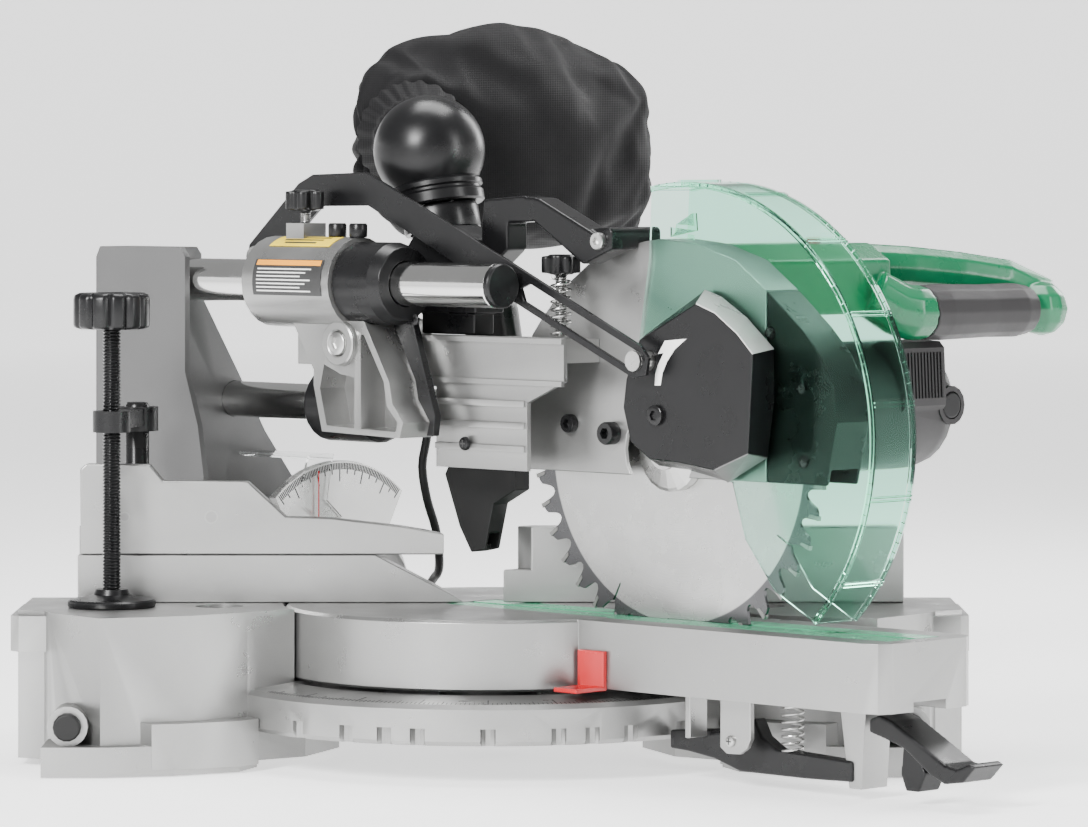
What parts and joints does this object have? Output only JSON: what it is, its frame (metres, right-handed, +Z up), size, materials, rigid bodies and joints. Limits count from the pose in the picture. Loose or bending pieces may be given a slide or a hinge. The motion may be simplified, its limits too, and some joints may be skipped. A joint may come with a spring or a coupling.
{
  "type": "sliding miter saw",
  "caption": "Sliding compound miter saw with turntable, tilting rails, chop head, guarded blade, vise, fence and dust bag.",
  "frame": {"origin": "middle of the bounding box without the cord, on the ground that the base stands on", "axes": "+X to the right along the fence, +Y to the rear, +Z up; the arm is mitered 45 degrees to the right of -Y"},
  "size_m": [0.6984, 0.6338, 0.488],
  "materials": {
    "casting_silver": "fine blasted casting",
    "casting_grey": "dark grey casting",
    "steel": "ground steel",
    "black_plastic": "fine textured",
    "dark_grey_plastic": "fine textured",
    "green_plastic": "satin",
    "clear_green": "clear, tinted",
    "clear": "clear",
    "red_plastic": "gloss",
    "rubber": "matte",
    "fabric": "woven",
    "copper": "wound copper and laminations"
  },
  "bodies": {
    "base": {"base_casting": "casting_silver", "socket_plug_left": "rubber", "socket_plug_right": "rubber", "fence_left": "casting_silver", "fence_right": "casting_silver"},
    "sub_fence": {"sub_fence": "casting_silver"},
    "sub_fence_clamp": {"sub_fence_knob": "black_plastic"},
    "vise": {"vise_post": "black_plastic", "vise_arm": "black_plastic"},
    "vise_spindle": {"vise_screw": "black_plastic", "vise_knob": "black_plastic", "vise_foot": "black_plastic"},
    "turntable": {"turntable": "casting_silver", "kerf_board_left": "clear_green", "kerf_board_right": "clear_green", "miter_pointer": "red_plastic", "bevel_scale": "steel", "cord": "rubber", "cord_coil": "rubber", "cord_plug": "rubber"},
    "miter_lever": {"miter_lever": "black_plastic"},
    "tilt_holder": {"holder": "casting_grey", "upper_rail": "steel", "lower_rail": "steel", "rail_cap": "black_plastic", "bevel_pointer": "clear"},
    "bevel_clamp": {"bevel_clamp": "black_plastic"},
    "carriage": {"carriage": "casting_silver", "rail_seal": "black_plastic", "lower_slide_cover": "black_plastic", "hinge_pin": "steel", "link_bolt": "steel", "cord_relief": "rubber"},
    "slide_lock": {"slide_lock_knob": "black_plastic"},
    "head": {"head_arm": "casting_silver", "upper_guard": "casting_silver", "guard_nose": "black_plastic", "gear_housing": "casting_grey", "motor_housing": "dark_grey_plastic", "brush_cap": "black_plastic", "motor_field": "steel", "spindle_cover": "black_plastic", "link_pin": "steel", "handle_frame": "green_plastic", "handle_grip": "dark_grey_plastic", "carry_handle": "black_plastic", "dust_chute": "rubber", "dust_duct": "black_plastic", "arm_cover": "black_plastic"},
    "depth_stop": {"depth_stop": "black_plastic"},
    "lower_guard": {"lower_guard": "clear_green"},
    "guard_link": {"guard_link": "black_plastic"},
    "blade": {"blade": "steel", "spindle": "steel", "blade_flange": "steel"},
    "armature": {"armature": "copper"},
    "trigger": {"trigger": "black_plastic"},
    "lock_off_button": {"lock_off_button": "red_plastic"},
    "dust_elbow": {"dust_elbow": "black_plastic", "dust_bag": "fabric"}
  },
  "joints": [
    {"name": "sub_fence_slide", "type": "slide", "parent": "base", "child": "sub_fence", "axis": [-1, 0, 0], "range_m": [0, 0.06]},
    {"name": "sub_fence_clamp_turn", "type": "hinge", "parent": "base", "child": "sub_fence_clamp", "pos_m": [-0.2392, 0.03141, 0.1427], "axis": [0, 1, 0], "range_deg": [0, 180]},
    {"name": "vise_height", "type": "slide", "parent": "base", "child": "vise", "axis": [0, 0, 1], "range_m": [0, 0.04]},
    {"name": "vise_screw_travel", "type": "slide", "parent": "vise", "child": "vise_spindle", "axis": [0, 0, 1], "range_m": [0, 0.045]},
    {"name": "miter", "type": "hinge", "parent": "base", "child": "turntable", "pos_m": [-0.0392, 0.00141, 0.05], "axis": [0, 0, 1], "range_deg": [-82, 2]},
    {"name": "miter_lever_press", "type": "hinge", "parent": "turntable", "child": "miter_lever", "pos_m": [0.2097, -0.24749, 0.046], "axis": [-0.7071, -0.7071, 0], "range_deg": [0, 6], "stiffness_Nm_per_rad": 1},
    {"name": "bevel", "type": "hinge", "parent": "turntable", "child": "tilt_holder", "pos_m": [-0.15941, 0.12162, 0.1], "axis": [-0.7071, 0.7071, 0], "range_deg": [-10, 10]},
    {"name": "bevel_clamp_turn", "type": "hinge", "parent": "tilt_holder", "child": "bevel_clamp", "pos_m": [-0.24426, 0.20647, 0.1], "axis": [0.7071, -0.7071, 0], "range_deg": [-30, 30]},
    {"name": "carriage_slide", "type": "slide", "parent": "tilt_holder", "child": "carriage", "axis": [0.7071, -0.7071, 0], "range_m": [-0.046, 0.08]},
    {"name": "slide_lock_turn", "type": "hinge", "parent": "carriage", "child": "slide_lock", "pos_m": [-0.16153, 0.01061, 0.35], "axis": [0, 0, 1], "range_deg": [0, 180]},
    {"name": "head_lift", "type": "hinge", "parent": "carriage", "child": "head", "pos_m": [-0.07031, 0.03253, 0.272], "axis": [-0.7071, -0.7071, 0], "range_deg": [0, 38], "stiffness_Nm_per_rad": 14, "springref_deg": -97.4},
    {"name": "depth_stop_turn", "type": "hinge", "parent": "head", "child": "depth_stop", "pos_m": [0.00676, -0.09122, 0.3], "axis": [0, 0, 1], "range_deg": [-180, 180]},
    {"name": "lower_guard_swing", "type": "hinge", "parent": "head", "child": "lower_guard", "pos_m": [0.08087, -0.11865, 0.207], "axis": [0.7071, 0.7071, 0], "range_deg": [0, 95.5]},
    {"name": "guard_link_swing", "type": "hinge", "parent": "carriage", "child": "guard_link", "pos_m": [-0.19582, 0.07319, 0.327], "axis": [-0.7071, -0.7071, 0], "range_deg": [0, 24]},
    {"name": "blade_spin", "type": "hinge", "parent": "head", "child": "blade", "pos_m": [0.08087, -0.11865, 0.207], "axis": [0.7071, 0.7071, 0], "continuous": true},
    {"name": "armature_spin", "type": "hinge", "parent": "head", "child": "armature", "pos_m": [0.07394, -0.11172, 0.229], "axis": [0.7071, 0.7071, 0], "continuous": true},
    {"name": "trigger_press", "type": "hinge", "parent": "head", "child": "trigger", "pos_m": [0.26698, 0.03748, 0.2965], "axis": [0.7071, 0.7071, 0], "range_deg": [0, 8], "stiffness_Nm_per_rad": 0.5},
    {"name": "lock_off_press", "type": "slide", "parent": "head", "child": "lock_off_button", "axis": [0, 0, -1], "range_m": [0, 0.003], "stiffness_N_per_m": 400},
    {"name": "dust_elbow_swivel", "type": "hinge", "parent": "head", "child": "dust_elbow", "pos_m": [-0.07314, 0.01838, 0.36], "axis": [-0.147, 0.147, 0.9781], "range_deg": [-25, 5]}
  ],
  "couplings": [
    {"joint": "lower_guard_swing", "follows": "head_lift", "ratio": 2.5},
    {"joint": "guard_link_swing", "follows": "head_lift", "ratio": 0.624},
    {"joint": "armature_spin", "follows": "blade_spin", "ratio": -2.5}
  ]
}
